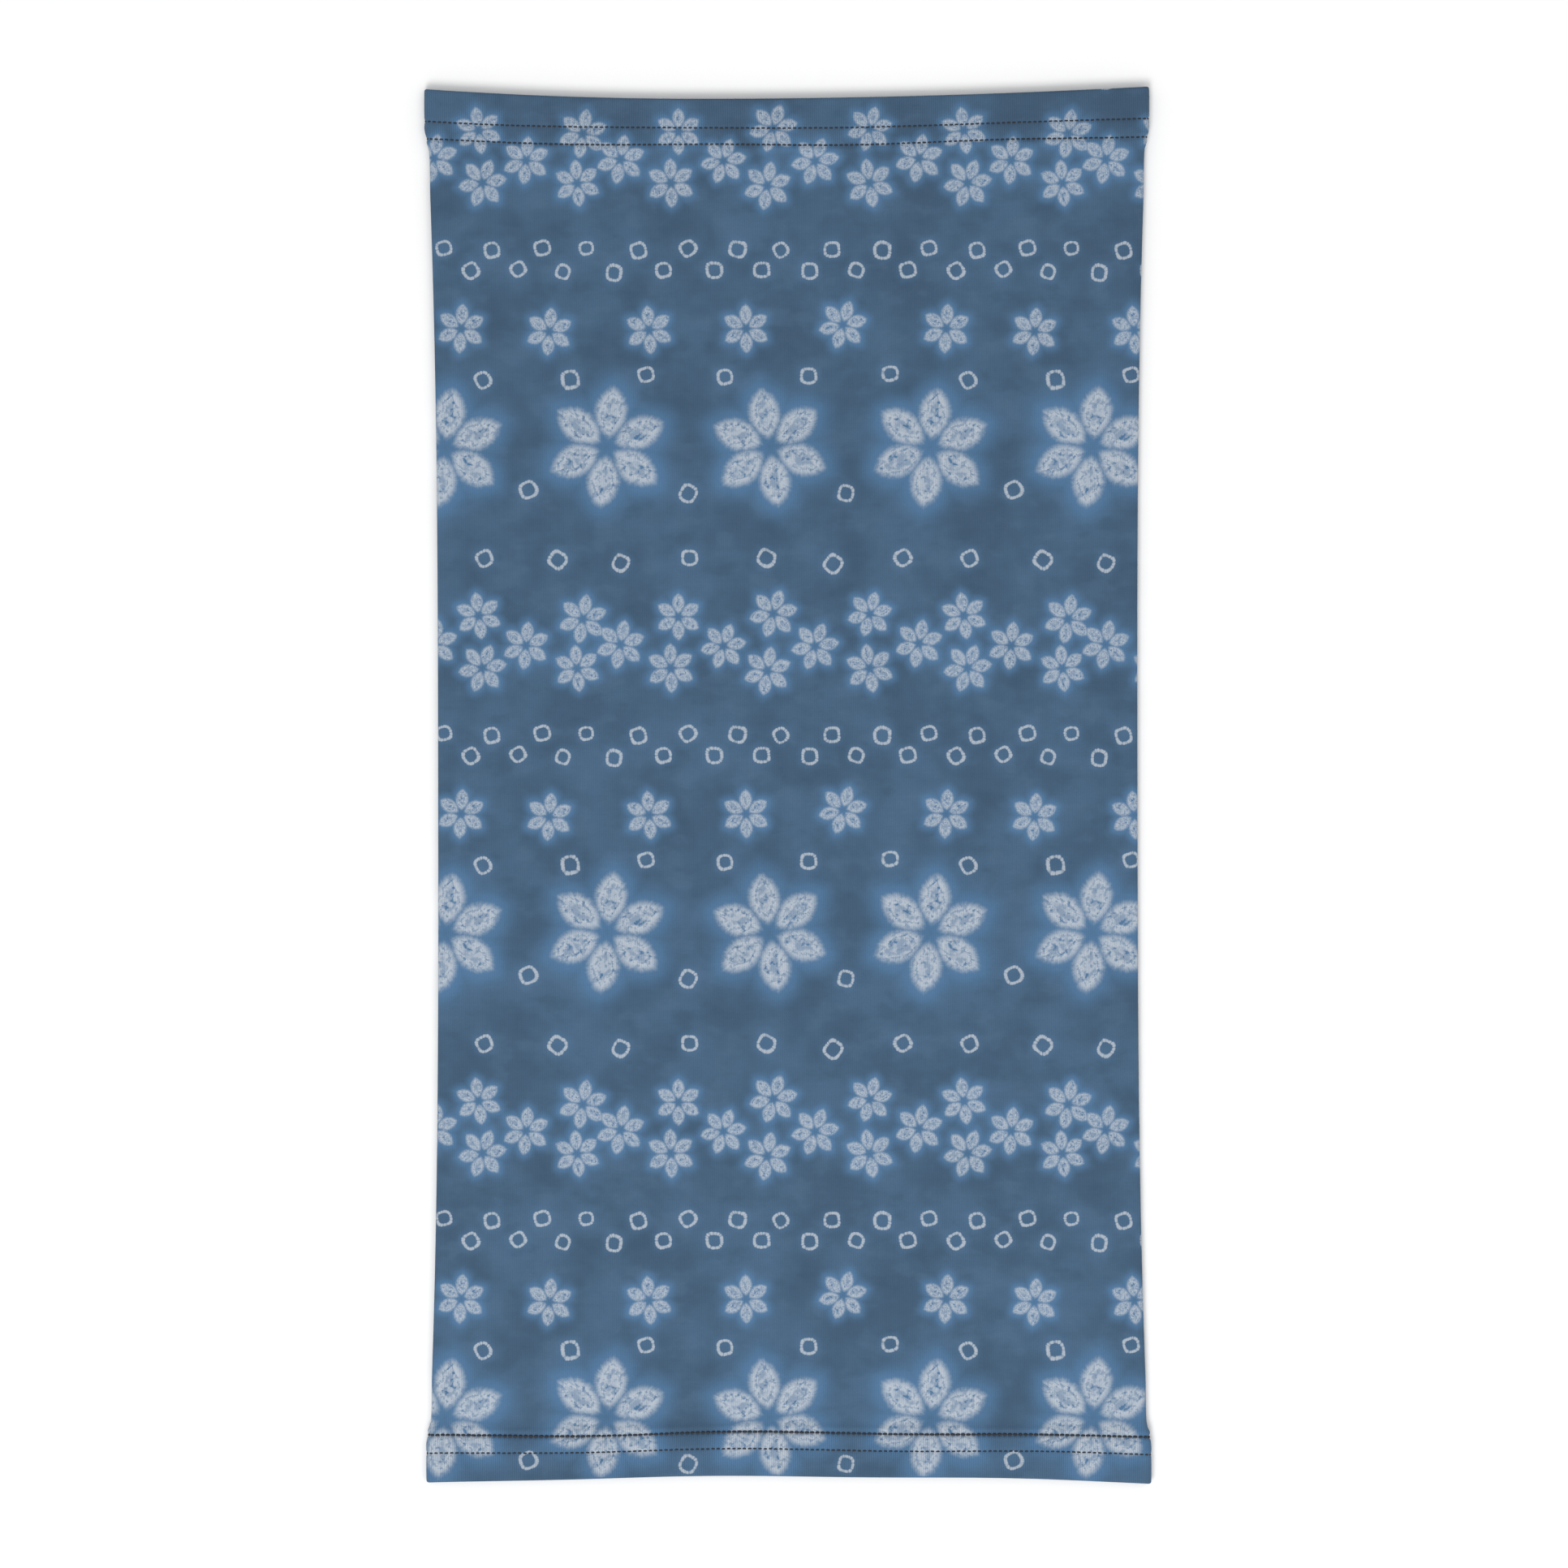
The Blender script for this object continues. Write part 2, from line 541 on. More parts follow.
def printed_knit():
    material, g, shader = principled("printed_knit")
    x, y = fabric_place(g)
    groups = {FLOWER: flower_group(), RING: ring_group()}
    petals, clear = 0.0, 1.0
    for kind, phase, count, level, size, stray, turn in PRINT_ROWS:
        row = g.node("ShaderNodeGroup", node_tree=groups[kind])
        values = {"X": x, "Y": y, "Phase": phase, "Spacing": REPEAT / count, "Per repeat": float(count),
                  "Level": level, "Size": size, "Stray": stray, "Turn": turn}
        for name, value in values.items():
            g.put(value, row.inputs[name])
        petals = g.high(petals, row.outputs["Petal"])
        clear = g.mul(clear, g.sub(1.0, row.outputs["Halo"]))
    halo = g.sub(1.0, clear)
    place = g.vector(x, y)
    clouds = g.noise(place, 0.035, 3.0, 0.55)
    patches = g.noise(g.vector(g.mul(x, 0.7), y), 0.095, 3.0, 0.55)
    slubs = g.noise(g.vector(g.mul(x, 0.10), y), 0.9, 2.0, 0.6)
    grain = g.noise(place, 1.7, 2.0, 0.6)
    dyed = g.mix(g.ramp(clouds, 0.34, 0.66), linear(57, 81, 104), linear(65, 92, 118))
    dyed = g.mix(g.mul(g.ramp(patches, 0.50, 0.68), 0.45), dyed, linear(72, 98, 124))
    dyed = g.mix(g.mul(g.ramp(patches, 0.48, 0.30), 0.45), dyed, linear(51, 75, 96))
    glow = g.mul(halo, g.add(0.74, g.mul(g.sub(clouds, 0.5), 0.5)))
    dyed = g.mix(glow, dyed, linear(75, 112, 148))
    light = g.mix(grain, linear(161, 171, 183), linear(178, 185, 193))
    ink = g.mix(g.mul(petals, 0.93), dyed, light)
    height, rib = knit_height(g, x, y)
    gathered = g.ramp(g.absolute(y), HALF_LENGTH - 24, HALF_LENGTH - 19, 0.12, 0.24)
    shade = g.add(g.sub(1.0, g.mul(gathered, g.sub(1.0, rib))), g.mul(g.sub(slubs, 0.5), 0.08))
    shade = g.add(shade, g.mul(g.sub(grain, 0.5), 0.20))
    g.put(g.shaded(ink, shade), shader["Base Color"])
    g.put(g.add(0.80, g.mul(grain, 0.14)), shader["Roughness"])
    g.put(0.22, shader["Specular IOR Level"])
    g.put(0.10, shader["Sheen Weight"])
    g.put(0.45, shader["Sheen Roughness"])
    g.put(g.bump(0.55, 0.09, g.add(height, g.mul(grain, 0.35))), shader["Normal"])
    return material


def wrong_side():
    """The unprinted inner face: white knit whose purl rows run across."""
    material, g, shader = principled("knit_wrong_side")
    x, y = fabric_place(g)
    row = g.math("SINE", g.mul(g.div(y, COURSE), 2 * math.pi))
    bead = g.math("SINE", g.mul(g.div(x, WALE), 2 * math.pi))
    loops = g.add(g.mul(row, 0.6), g.mul(g.mul(row, bead), 0.4))
    place = g.vector(x, y)
    patches = g.noise(place, 0.07, 3.0, 0.55)
    grain = g.noise(place, 1.9, 2.0, 0.6)
    base = g.mix(g.ramp(patches, 0.35, 0.7), linear(205, 212, 220), linear(222, 226, 231))
    shade = g.add(0.94, g.add(g.mul(loops, 0.035), g.mul(g.sub(grain, 0.5), 0.10)))
    g.put(g.shaded(base, shade), shader["Base Color"])
    g.put(g.add(0.82, g.mul(grain, 0.12)), shader["Roughness"])
    g.put(0.2, shader["Specular IOR Level"])
    g.put(0.15, shader["Sheen Weight"])
    g.put(g.bump(0.5, 0.08, g.add(loops, g.mul(grain, 0.5))), shader["Normal"])
    return material


def thread_material(name, dark, light, rough):
    """Twisted sewing thread: slanting plies along it and a little fuzz. UV X runs along the thread, UV Y round it."""
    material, g, shader = principled(name)
    x, y = fabric_place(g)
    ply_length, ply_width = 0.42, 0.5
    twist = g.math("SINE", g.add(g.mul(x, 2 * math.pi / ply_length), g.mul(y, 2 * math.pi / ply_width)))
    fuzz = g.noise(g.vector(x, y), 3.1, 2.0, 0.6)
    depth = g.add(g.mul(g.add(twist, 1.0), 0.35), g.mul(fuzz, 0.3))
    g.put(g.mix(depth, dark, light), shader["Base Color"])
    g.put(g.add(rough, g.mul(fuzz, 0.2)), shader["Roughness"])
    g.put(0.35, shader["Specular IOR Level"])
    g.put(0.12, shader["Sheen Weight"])
    g.put(g.bump(0.6, 0.05, depth), shader["Normal"])
    return material


PRINTED, WRONG = printed_knit(), wrong_side()
DARK_THREAD = thread_material("needle_thread", linear(14, 17, 23), linear(36, 42, 53), 0.6)
PALE_THREAD = thread_material("looper_thread", linear(186, 192, 200), linear(226, 229, 233), 0.5)

# ==== The knit, in ten pieces that each cross one hinge line ====

CELL = 1 / STITCHES
COLUMNS = STITCHES * FINE                      # mesh columns of a piece


def piece_columns(k, fine):
    """The numbers of piece k's mesh columns. Coarse rows keep the fine ones by the side folds and the seam."""
    kept = []
    for j in range(COLUMNS + 1):
        at_fold = k in SIDE_PIECES and abs(j - COLUMNS // 2) <= 2 * FINE
        at_seam = (k == 0 and j <= 2 * FINE) or (k == PIECES - 1 and j >= COLUMNS - 2 * FINE)
        if k in SIDE_PIECES and j == COLUMNS // 2:
            continue                           # none on the fold line, where a point would belong to neither layer
        if fine or j % FINE == 0 or at_fold or at_seam:
            kept.append(j)
    return kept


def hem_steps():
    """Distances from the tube's end of the outer face's rows in a hem, close together at the two needle rows."""
    near = [0.75, 1.3, 2.2, 3.4, 4.8, 6.2, 7.4]
    rows = list(np.arange(8.2, 18.6, 0.4))
    return near + [round(r, 2) for r in rows] + [19.2, 20.0]


FOLD_STEPS = 5                                 # mesh rows round the fold at the tube's end
FOLD_HALF = HEM_T / 2                          # radius of that fold
BODY_START = 27.0                              # distance from the tube's end where the body's even rows begin
OUTER_ROWS, INNER_ROWS = 146, 73               # even mesh rows on the body's two faces
FACING_PUSH = -0.6                             # the turned-in knit bulges inwards where the outer face is pulled in
TIGHT_U = 17.0                                 # to here the hem's two layers are one, as its stitches hold them
SLIT_END, SLIT_END_DEPTH = 17.2, 0.73          # where the slit under the free raw edge ends
PRINT_FACE, WRONG_FACE = 0, 1


def profile_rows():
    """The closed lengthwise profile of the knit, as rows of (end, place, depth, push, fine, face).

    end is 1 at the top, -1 at the bottom and 0 on the body. place is the distance from that end, or the share of the
    body. push says how much of the stitches' pull the row follows. fine rows have every mesh column.
    """
    rows = []
    outer_hem = hem_steps() + [21.8, 23.6, 25.3]

    def hem_out(end, order):
        for u in order:
            rows.append((end, u, 0.0, 1.0, u <= 20.0, PRINT_FACE))

    def fold(end, order):
        for j in order:
            t = math.pi * j / (FOLD_STEPS + 1)
            rows.append((end, FOLD_HALF * (1 - math.sin(t)), FOLD_HALF * (1 - math.cos(t)), 0.0, True, PRINT_FACE))

    def facing(end):
        out = [(end, u, HEM_T, FACING_PUSH, True, PRINT_FACE) for u in (FOLD_HALF, 2.0)]
        for u in (3.8, 5.6, 7.4, 8.6, 9.4, 10.2, 11.0, 12.2, 13.6, 14.6, 15.4, 16.2, TIGHT_U, 17.8, 18.7):
            out.append((end, u, HEM_T, FACING_PUSH, False, PRINT_FACE))
        raw_edge = ((HEM_DEPTH, HEM_T - 0.12, FACING_PUSH), (HEM_DEPTH, 0.92, 0.2), (HEM_DEPTH - 0.3, 0.8, 0.4),
                    (17.6, 0.78, 0.6), (SLIT_END, SLIT_END_DEPTH, 1.0), (17.6, PLY, 1.0), (HEM_DEPTH, PLY, 1.0),
                    (21.0, PLY, 1.0), (24.0, PLY, 1.0))
        return out + [(end, u, depth, push, False, WRONG_FACE) for u, depth, push in raw_edge]

    hem_out(1, outer_hem)
    rows += [(0, j / OUTER_ROWS, 0.0, 1.0, False, PRINT_FACE) for j in range(OUTER_ROWS + 1)]
    hem_out(-1, outer_hem[::-1])
    fold(-1, range(1, FOLD_STEPS + 1))
    rows += facing(-1)
    rows += [(0, j / INNER_ROWS, PLY, 1.0, False, WRONG_FACE) for j in range(INNER_ROWS, -1, -1)]
    rows += facing(1)[::-1]
    fold(1, range(FOLD_STEPS, 0, -1))
    return rows


ROWS = profile_rows()


def row_place(row, c):
    """(y, height on the print) of a row's points at c."""
    end, step, depth, push, fine, face = row
    x = plain_x(c)
    top, bottom = top_edge(x), bottom_edge(x)
    if end == 0:
        y = (top - BODY_START) * (1 - step) + (bottom + BODY_START) * step
        return y, y
    tip = top if end > 0 else bottom
    y = tip - end * step
    if depth > 1.0:                            # the print runs on round the end, over the facing
        beyond = step + 1.2
    elif step < FOLD_HALF:
        beyond = FOLD_HALF - step + depth
    else:
        beyond = -step
    return y, tip + end * beyond


def row_face(index):
    """The face that the band between this row and the next shows."""
    a, b = ROWS[index], ROWS[(index + 1) % len(ROWS)]
    return WRONG_FACE if a[5] == b[5] == WRONG_FACE else PRINT_FACE


def row_vertices(row, c):
    """Points of a row at c, and their places on the print."""
    y, y_print = row_place(row, c)
    end, step, depth, push, fine, face = row
    round_the_end = end != 0 and step <= FOLD_HALF
    sunk = np.full_like(y, depth) if round_the_end else depth + push * pucker(c, y)
    if push > 0 and depth < 1.0:
        sunk = sunk + seam_pull(c) * (1.0 if depth == 0 else 0.6)
    return tube_point(c, y, sunk), print_place(c, y_print, y)


def clear_of_middle(c, k):
    """Keeps the cut ends of the two front centre pieces 0.006 mm apart, so that they don't count as touching."""
    slit = 0.00006                             # in strips
    return np.minimum(c, FRONT_CENTRE - slit) if k < FRONT_CENTRE else np.maximum(c, FRONT_CENTRE + slit)


def piece_mesh(k):
    """Points, places on the print, faces and materials of piece k, and its first and last column."""
    points, prints, row_ids = [], [], []
    total = 0
    for row in ROWS:
        columns = piece_columns(k, row[4])
        c = clear_of_middle(k + np.array(columns) / COLUMNS, k)
        p, uv = row_vertices(row, c)
        points.append(p)
        prints.append(uv)
        row_ids.append({j: total + n for n, j in enumerate(columns)})
        total += len(columns)
    faces, looks = [], []
    for r in range(len(ROWS)):
        a, b = row_ids[r], row_ids[(r + 1) % len(ROWS)]
        shared = sorted(set(a) & set(b))
        for low, high in zip(shared, shared[1:]):
            side_a = [a[j] for j in range(low, high + 1) if j in a]
            side_b = [b[j] for j in range(low, high + 1) if j in b]
            faces.append(side_a + side_b[::-1])
            looks.append(row_face(r))
    first = np.array([ids[0] for ids in row_ids])
    last = np.array([ids[COLUMNS] for ids in row_ids])
    return np.concatenate(points), np.concatenate(prints), faces, looks, first, last


def cut_end(points, ring):
    """Faces that close a piece's cut section. ring holds the point of each profile row."""
    ends, places, depths = [row[0] for row in ROWS], [row[1] for row in ROWS], [row[2] for row in ROWS]
    count = len(ROWS)
    outer = [n for n in range(count) if depths[n] == 0.0]
    bottom_fold = outer[-1] + 1
    bottom_facing = bottom_fold + FOLD_STEPS
    inner_first = next(n for n in range(bottom_facing, count) if ends[n] == 0)
    inner_last = max(n for n in range(count) if ends[n] == 0)
    top_fold = count - FOLD_STEPS
    faces = []

    def inner_rows(rows):
        """The inner side's rows from one fold inwards, past the free raw edge, for which a face is added."""
        slit = next(n for n in rows if depths[n] == SLIT_END_DEPTH)
        tight = [n for n in rows[:rows.index(slit)] if depths[n] == HEM_T and places[n] <= TIGHT_U]
        free = rows[rows.index(tight[-1]):rows.index(slit) + 1]
        faces.append([ring[n] for n in free])
        return tight + rows[rows.index(slit):]

    top = inner_rows(list(range(top_fold - 1, inner_last, -1)))
    bottom = inner_rows(list(range(bottom_facing, inner_first)))
    faces.append([ring[n] for n in [outer[-1]] + list(range(bottom_fold, bottom_facing + 1))])
    faces.append([ring[n] for n in [top_fold - 1] + list(range(top_fold, count)) + [outer[0]]])
    inner = top + list(range(inner_last, inner_first - 1, -1)) + bottom[::-1]

    # Between the outer and the inner side, triangles step down the section from the top.
    a, b = [ring[n] for n in outer], [ring[n] for n in inner]
    i = j = 0
    while i < len(a) - 1 or j < len(b) - 1:
        if j == len(b) - 1 or (i < len(a) - 1 and points[a[i + 1], 1] > points[b[j + 1], 1]):
            faces.append([a[i], a[i + 1], b[j]])
            i += 1
        else:
            faces.append([a[i], b[j + 1], b[j]])
            j += 1
    return faces


def make_mesh(name, points, faces, uv, materials, looks=None, normals=None):
    mesh = bpy.data.meshes.new(name)
    mesh.from_pydata((points * MM).tolist(), [], faces)
    if normals is not None:                    # knit: turn its closed ends the way of its faces
        shape = bmesh.new()
        shape.from_mesh(mesh)
        bmesh.ops.recalc_face_normals(shape, faces=shape.faces)
        shape.to_mesh(mesh)
        shape.free()
    for m in materials:
        mesh.materials.append(m)
    if looks is not None:
        mesh.polygons.foreach_set("material_index", looks)
    mesh.polygons.foreach_set("use_smooth", [True] * len(mesh.polygons))
    corner = np.zeros(len(mesh.loops), int)
    mesh.loops.foreach_get("vertex_index", corner)
    layer = mesh.uv_layers.new(name="fabric")
    layer.data.foreach_set("uv", uv[corner].astype(np.float32).ravel())
    if normals is not None:
        mesh.normals_split_custom_set_from_vertices(normals.tolist())
    mesh.update()
    made = bpy.data.objects.new(name, mesh)
    bpy.context.scene.collection.objects.link(made)
    return made


def open_normals(points, faces):
    """Smooth normals of a piece before its cut ends are closed."""
    mesh = bpy.data.meshes.new("scratch")
    mesh.from_pydata(points.tolist(), [], faces)
    out = np.zeros(len(points) * 3)
    mesh.vertex_normals.foreach_get("vector", out)
    bpy.data.meshes.remove(mesh)
    return out.reshape(-1, 3)


def unit(v):
    return v / np.maximum(np.linalg.norm(v, axis=-1, keepdims=True), 1e-12)


# Each piece's name, and the two bodies it joins.
REGIONS = [
    ("back_center_to_right", "back_center", "back_right_inner"),
    ("back_right_inner_to_outer", "back_right_inner", "back_right_outer"),
    ("right_side", "back_right_outer", "front_right_outer"),
    ("front_right_outer_to_inner", "front_right_outer", "front_right_inner"),
    ("front_right_inner_to_center", "front_right_inner", "front_center_right"),
    ("front_center_to_left_inner", "front_left_inner", "front_center_left"),
    ("front_left_inner_to_outer", "front_left_outer", "front_left_inner"),
    ("left_side", "back_left_outer", "front_left_outer"),
    ("back_left_outer_to_inner", "back_left_inner", "back_left_outer"),
    ("back_left_inner_to_center", "back_center", "back_left_inner"),
]


def fit(piece, k, ending):
    """Puts a visible piece on its two bodies, in place of their nodes whose names end so."""
    a, b = REGIONS[k][1:]
    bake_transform(piece)
    bodies = frame["record"]["behaviour"]["bodies"]
    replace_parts(piece, *[node for node in list(bodies[a]) + list(bodies[b]) if node.endswith(ending)])


parts = [piece_mesh(k) for k in range(PIECES)]
normals = [open_normals(points, faces) for points, prints, faces, looks, first, last in parts]
for k in range(PIECES - 1):                    # neighbours share their normals, so that no line shows between them
    last, first = parts[k][5], parts[k + 1][4]
    shared = unit(normals[k][last] + normals[k + 1][first])
    normals[k][last] = shared
    normals[k + 1][first] = shared

highest = np.argmax(parts[FRONT_CENTRE - 1][0][:, 2])
inward = normals[FRONT_CENTRE - 1][highest][2] < 0
for k, (points, prints, faces, looks, first, last) in enumerate(parts):
    caps = cut_end(points, first) + cut_end(points, last)
    piece = make_mesh("knit_" + REGIONS[k][0], points, faces + caps, prints, [PRINTED, WRONG],
                      looks + [WRONG_FACE] * len(caps), -normals[k] if inward else normals[k])
    fit(piece, k, "_panel")

# ==== Threads ====


def tube_along(paths, ups, half_wide, half_high, sides=6):
    """A closed thread round each path. paths and ups are (threads, points, 3). Returns points, faces and places."""
    count, length, _ = paths.shape
    tangent = unit(np.gradient(paths, axis=1))
    across = unit(np.cross(tangent, ups))
    up = np.cross(across, tangent)
    angles = np.arange(sides) / sides * 2 * math.pi
    ring = (paths[:, :, None] + across[:, :, None] * np.cos(angles)[None, None, :, None] * half_wide
            + up[:, :, None] * np.sin(angles)[None, None, :, None] * half_high)
    run = np.concatenate([np.zeros((count, 1)), np.cumsum(np.linalg.norm(np.diff(paths, axis=1), axis=2), axis=1)], 1)
    uv = np.zeros((count, length, sides, 2))
    uv[..., 0] = run[:, :, None] + np.arange(count)[:, None, None] * 1.3
    uv[..., 1] = angles[None, None, :] / (2 * math.pi) * 1.3
    i = np.arange(count)[:, None, None] * length * sides
    j = np.arange(length - 1)[None, :, None] * sides
    s = np.arange(sides)[None, None, :]
    n = (s + 1) % sides
    faces = np.stack([i + j + s, i + j + sides + s, i + j + sides + n, i + j + n], -1).reshape(-1, 4).tolist()
    for thread in range(count):
        start = thread * length * sides
        end = start + (length - 1) * sides
        faces.append(list(range(start, start + sides)))
        faces.append(list(range(end, end + sides))[::-1])
    return ring.reshape(-1, 3), faces, uv.reshape(-1, 2) * MM


def join(parts_list):
    points, faces, uv, offset = [], [], [], 0
    for p, f, t in parts_list:
        points.append(p)
        faces += [[v + offset for v in face] for face in f]
        uv.append(t)
        offset += len(p)
    return np.concatenate(points), faces, np.concatenate(uv)


THREAD_HALF_WIDE, THREAD_HALF_HIGH = 0.27, 0.19
DASH_START, DASH_END = 0.13, 0.87              # where a stitch comes out and goes in, in stitches
DASH_RISE, DASH_DIVE = 0.20, 0.30              # how far it stands out of the knit, and dips at its ends
DEEPEST_DASH = 0.36                            # a dash follows the pucker no deeper than this


def surface_frame(c, y, depth):
    """A point of the knit and the way out of its face."""
    p = tube_point(c, y, depth)
    out = tube_point(c, y, depth - 0.05) - p
    return p, unit(out)


def needle_stitches(k, top):
    """The needle threads' dashes along both rows of one hem, within piece k."""
    rng = np.random.default_rng(100 + 10 * k + top)
    made = []
    for row in (0, 1):
        number = np.arange(STITCHES)
        start = (number + DASH_START + rng.uniform(-0.03, 0.03, STITCHES)) * CELL
        end = (number + DASH_END + rng.uniform(-0.03, 0.03, STITCHES)) * CELL
        t = np.linspace(0, 1, 6)
        c = k + start[:, None] + (end - start)[:, None] * t[None, :]
        x = plain_x(c)
        tilt = (t - 0.5)[None, :] * rng.uniform(-0.12, 0.12, STITCHES)[:, None]
        u = needle_rows(x, top)[row] + tilt + rng.uniform(-0.05, 0.05, STITCHES)[:, None]
        y = top_edge(x) - u if top else bottom_edge(x) + u
        dive = np.abs(2 * t - 1) ** 4 * DASH_DIVE
        middle = k + (number + 0.5)[:, None] * CELL + 0 * c
        depth = np.minimum(pucker(middle, y), DEEPEST_DASH) - DASH_RISE + dive[None, :]
        paths, ups = surface_frame(c, y, depth)
        swell = 1.3 if row == 1 and not top else 1.0
        made.append(tube_along(paths, ups, THREAD_HALF_WIDE * swell, THREAD_HALF_HIGH * swell))
    return join(made)


LACE_CLEAR = 0.28                              # the lace keeps this far from the level where the two layers part
LACE_POINTS = 8                                # to a stitch
FOLD_GAP = 0.045                               # of a strip either way, where it goes straight across a side fold


def looper_lace(k, top):
    """The looper thread inside one hem: it crosses between the two rows and runs in loops along each of them."""
    made = []
    t = np.linspace(0, 1, STITCHES * LACE_POINTS + 1)
    if k in SIDE_PIECES:
        t = t[np.abs(t - 0.5) > FOLD_GAP]
    c = clear_of_middle((k + t)[None, :], k)
    x = plain_x(c)
    first, second = needle_rows(x, top)
    turn = t * STITCHES * 2 * math.pi
    crossings, loops = (0, 1), (2, 3)
    for path in crossings + loops:
        if path in crossings:
            wave = (1 if path == 1 else -1) * np.clip(1.25 * np.cos(turn), -1, 1)
            u = (first + second) / 2 + wave * (second - first) / 2
            lift = 0.10 + 0.10 * np.cos(2 * turn + path * math.pi)
        else:
            u = (first if path == 2 else second) + 0.30 * np.sin(turn)
            lift = 0.16 + 0.08 * np.sin(turn)
        y = top_edge(x) - u if top else bottom_edge(x) + u
        room = np.abs(tube_point(c, y, 0.0)[..., 2] - MID_Z) - LACE_CLEAR
        depth = np.minimum(HEM_T + FACING_PUSH * pucker(c, y) + lift + 0.08, room)
        p = tube_point(c, y, depth)
        inwards = unit(tube_point(c, y, depth + 0.05) - p)
        made.append(tube_along(p, inwards, 0.16, 0.11, sides=5))
    return join(made)


for k in range(PIECES):
    for end_name, top in (("top", True), ("bottom", False)):
        for kind, build, material, slot in (("needle_threads", needle_stitches, DARK_THREAD, "hem_thread"),
                                            ("looper_thread", looper_lace, PALE_THREAD, "inside_thread")):
            points, faces, uv = build(k, top)
            ending = f"_{end_name}_{kind}"
            piece = make_mesh(REGIONS[k][0] + ending, points, faces, uv, [material])
            fit(piece, k, ending)

# ==== The back seam's allowances and overlock threads, inside the tube ====

SEAM_RUN = 221.0                               # how far up and down from the middle the allowances go
ALLOWANCE = 6.0                                # their width, which lies to the left of the seam
OVERLOCK_PITCH = 3.0
OVERLOCK_RUN = SEAM_RUN - 2


def over_allowance(x, y, lift):
    """A point that is lift above the back layer's inner face, on the folded allowance's gentle waves."""
    c = np.full(np.shape(y), PIECES - 2.0 / STRIP)
    base = tube_point(c, y, PLY + pucker(c, y))[..., 2]
    out = -x / ALLOWANCE
    wave = 0.10 * np.sin(y / 6.1) + 0.07 * np.sin(y / 2.7 + 1)
    return np.stack([x + 0 * y, y, base + lift + wave * out + 0.10 * out ** 3], -1)


def seam_allowance():
    """Two plies folded to the left, from the seam to their cut edge, waving a little along it."""
    rows = 221
    y = np.linspace(-SEAM_RUN, SEAM_RUN, rows)
    made = []
    for ply in (0, 1):
        low = 0.30 + ply * 0.74
        outer = ALLOWANCE - ply * 0.15
        outline = [(0.35, low), (0.35, low + PLY), (-1.2, low + 0.74), (-3.2, low + 0.72), (-outer + 0.1, low + 0.64),
                   (-outer, low + 0.5), (-outer, low + 0.12), (-outer + 0.1, low), (-3.2, low + 0.02), (-1.2, low)]
        size = len(outline)
        points = np.zeros((rows, size, 3))
        for n, (x, z) in enumerate(outline):
            points[:, n] = over_allowance(x, y, z)
            points[:, n, 0] += 0.12 * np.sin(y / 9.0 + ply) * -x / ALLOWANCE
        faces = [[r * size + n, (r + 1) * size + n, (r + 1) * size + (n + 1) % size, r * size + (n + 1) % size]
                 for r in range(rows - 1) for n in range(size)]
        faces.append(list(range(size)))
        faces.append([(rows - 1) * size + n for n in range(size)][::-1])
        uv = np.stack([points[..., 0] + 3.0 * ply, points[..., 1]], -1).reshape(-1, 2) * MM
        made.append((points.reshape(-1, 3), faces, uv))
    return join(made)


def straight_up(path):
    return np.broadcast_to([0.0, 0.0, 1.0], path.shape)


def overlock_needles():
    """Two rows of dashes on top of the allowances."""
    made = []
    t = np.linspace(0, 1, 6)
    start = -OVERLOCK_RUN + np.arange(int(2 * OVERLOCK_RUN / OVERLOCK_PITCH)) * OVERLOCK_PITCH
    y = start[:, None] + (0.12 + 0.76 * t)[None, :] * OVERLOCK_PITCH
    for distance in (1.2, 3.4):
        path = over_allowance(np.full_like(y, -distance), y, 1.86 - 0.35 * np.abs(2 * t - 1) ** 4)
        made.append(tube_along(path, straight_up(path), 0.22, 0.15))
    return join(made)


def overlock_looper(upper):
    """The net of one looper thread, over or under the allowances: two waves that cross between rows and cut edge."""
    steps = int(2 * OVERLOCK_RUN / OVERLOCK_PITCH) * 12
    y = np.linspace(-OVERLOCK_RUN, OVERLOCK_RUN, steps + 1)
    turn = (y / OVERLOCK_PITCH) * 2 * math.pi
    wave = np.clip(1.3 * np.cos(turn), -1, 1)
    made = []
    for sign in (1, -1):
        x = -3.62 + sign * wave * 2.5
        lift = (2.02 if upper else 0.18) + 0.03 * sign
        path = over_allowance(x, y + 0.15 * sign * np.sin(turn), lift)[None]
        made.append(tube_along(path, straight_up(path), 0.2, 0.12, sides=5))
    return join(made)


def ride_in_seam(name, made, material):
    piece = make_mesh(name, *made, [material])
    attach(piece, "back_center")
    return piece


ride_in_seam("back_seam_allowance", seam_allowance(), WRONG)
for node, made in (("overlock_needle_threads", overlock_needles()), ("overlock_upper_looper", overlock_looper(True)),
                   ("overlock_lower_looper", overlock_looper(False))):
    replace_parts(ride_in_seam(node + "_visual", made, PALE_THREAD), node)

# ==== Floor, light and camera ====


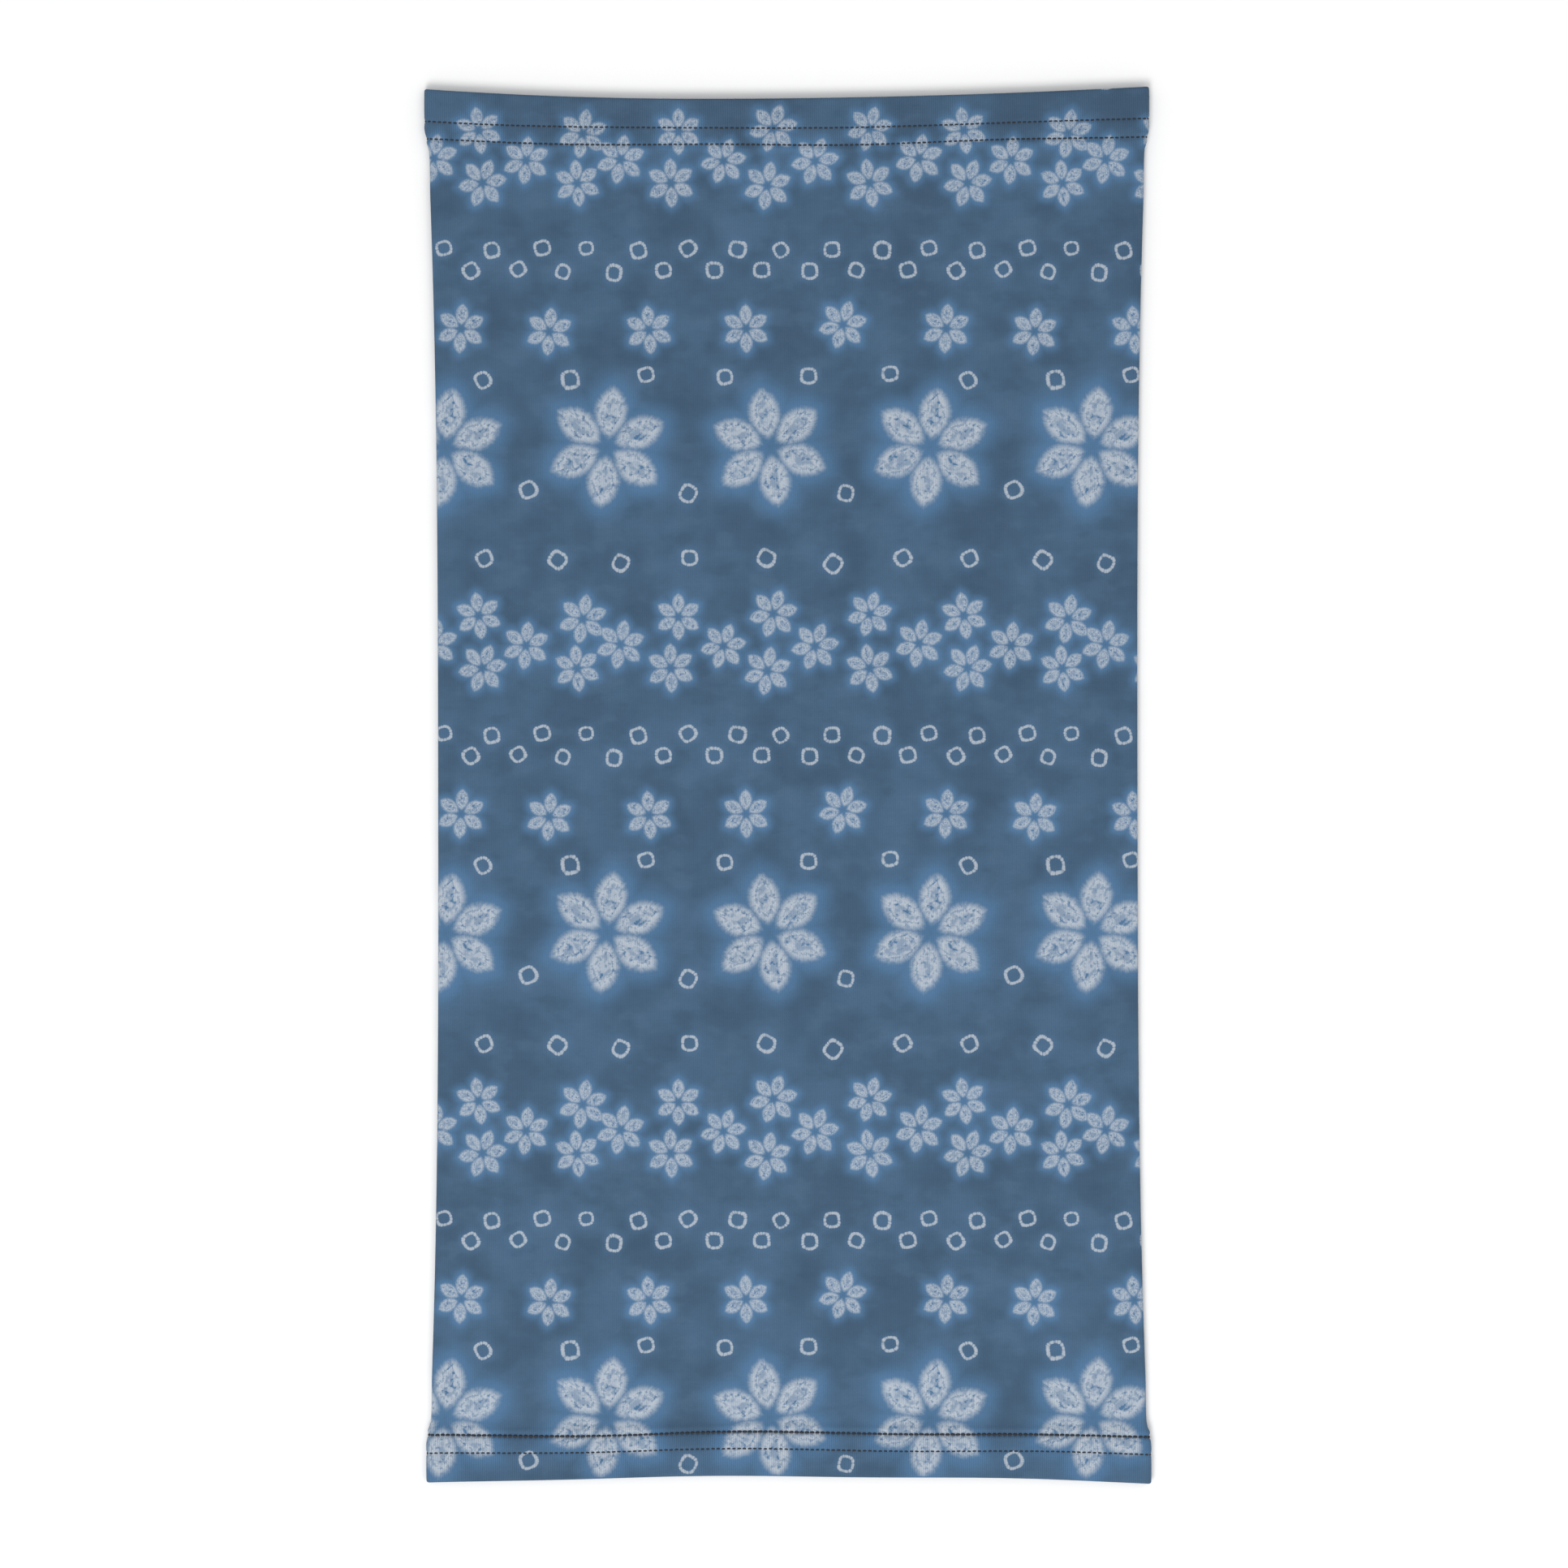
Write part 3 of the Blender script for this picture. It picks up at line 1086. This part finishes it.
def floor_material():
    material, g, shader = principled("pale_floor")
    place = g.node("ShaderNodeTexCoord").outputs["Object"]
    cloud = g.noise(place, 3.0, 2.0)
    g.put(g.mix(cloud, linear(234, 234, 234), linear(237, 237, 237)), shader["Base Color"])
    g.put(0.9, shader["Roughness"])
    g.put(0.1, shader["Specular IOR Level"])
    return material


FLOOR_HALF = 30.0                              # metres, as are the lengths from here on
FLOOR_Z = -0.00045
floor_mesh = bpy.data.meshes.new("floor")
corners = [(x * FLOOR_HALF, y * FLOOR_HALF, FLOOR_Z) for x, y in ((-1, -1), (1, -1), (1, 1), (-1, 1))]
floor_mesh.from_pydata(corners, [], [(0, 1, 2, 3)])
floor_mesh.materials.append(floor_material())
floor = bpy.data.objects.new("floor", floor_mesh)
scene = bpy.context.scene
scene.collection.objects.link(floor)

world = bpy.data.worlds.new("studio")
world.use_nodes = True
background = world.node_tree.nodes["Background"]
background.inputs["Color"].default_value = (1, 1, 1, 1)
background.inputs["Strength"].default_value = 0.74
scene.world = world
scene.view_settings.view_transform = "Standard"
scene.view_settings.look = "None"


def softbox(name, place, size, power):
    """A square area light that points at the middle of the tube."""
    light = bpy.data.lights.new(name, "AREA")
    light.shape = "SQUARE"
    light.size = size
    light.energy = power
    made = bpy.data.objects.new(name, light)
    made.location = place
    made.rotation_euler = (-Vector(place)).to_track_quat("-Z", "Y").to_euler()
    scene.collection.objects.link(made)


softbox("key_softbox", (-0.5, -1.4, 2.2), 1.2, 38)
softbox("fill_softbox", (0.9, -0.4, 2.4), 1.6, 10)

VIEW_WIDTH = 0.5506                            # what the picture is wide, at the tube's top face
CAMERA_HEIGHT = 2.6
SENSOR = 36.0                                  # millimetres
camera_data = bpy.data.cameras.new("camera")
camera_data.sensor_width = SENSOR
camera_data.lens = SENSOR * (CAMERA_HEIGHT - LAY_HEIGHT * MM) / VIEW_WIDTH
camera_data.clip_end = 100
camera = bpy.data.objects.new("camera", camera_data)
camera.location = (-0.001, 0.0004, CAMERA_HEIGHT)
scene.collection.objects.link(camera)
scene.camera = camera
